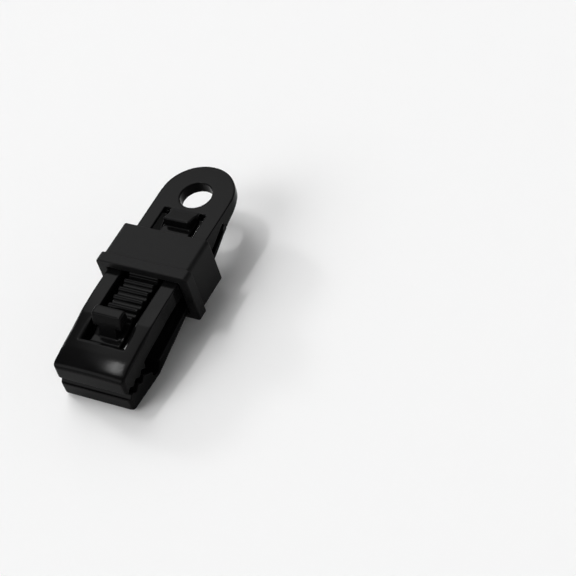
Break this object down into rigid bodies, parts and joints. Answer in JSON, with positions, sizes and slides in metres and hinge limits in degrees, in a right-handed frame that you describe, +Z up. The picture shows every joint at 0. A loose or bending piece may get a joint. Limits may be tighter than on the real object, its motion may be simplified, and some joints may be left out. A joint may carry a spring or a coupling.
{
  "type": "tarp clip",
  "caption": "Lock-grip tarp clip with toothed jaws that meet at a lashing eye, a ratchet tongue with a thumb tab, and a sleeve that slides forward to close the mouth.",
  "frame": {"origin": "axis of the lashing eye, in the clip's flat top face", "axes": "X across the clip, +Y from the mouth towards the eye, +Z up along the eye's axis"},
  "size_m": [0.031, 0.08, 0.0215],
  "materials": {
    "jaw_plastic": "satin black moulded nylon",
    "sleeve_plastic": "satin black moulded nylon"
  },
  "bodies": {
    "upper": {"upper_jaw": "jaw_plastic"},
    "lower": {"lower_jaw": "jaw_plastic"},
    "tongue": {"ratchet_tongue": "jaw_plastic"},
    "sleeve": {"locking_sleeve": "sleeve_plastic"}
  },
  "joints": [
    {"name": "sleeve_slide", "type": "slide", "parent": "upper", "child": "sleeve", "axis": [0, -1, 0], "range_m": [-0.0048, 0.0064]},
    {"name": "jaw_close", "type": "hinge", "parent": "upper", "child": "lower", "pos_m": [0, -0.0062, -0.00465], "axis": [-1, 0, 0], "range_deg": [-1.58, 2.1]},
    {"name": "tongue_press", "type": "hinge", "parent": "upper", "child": "tongue", "pos_m": [0, -0.007, -0.00175], "axis": [1, 0, 0], "range_deg": [0, 3], "stiffness_Nm_per_rad": 0.4}
  ],
  "couplings": [
    {"joint": "jaw_close", "follows": "sleeve_slide", "rad_per_m": 5.7}
  ]
}
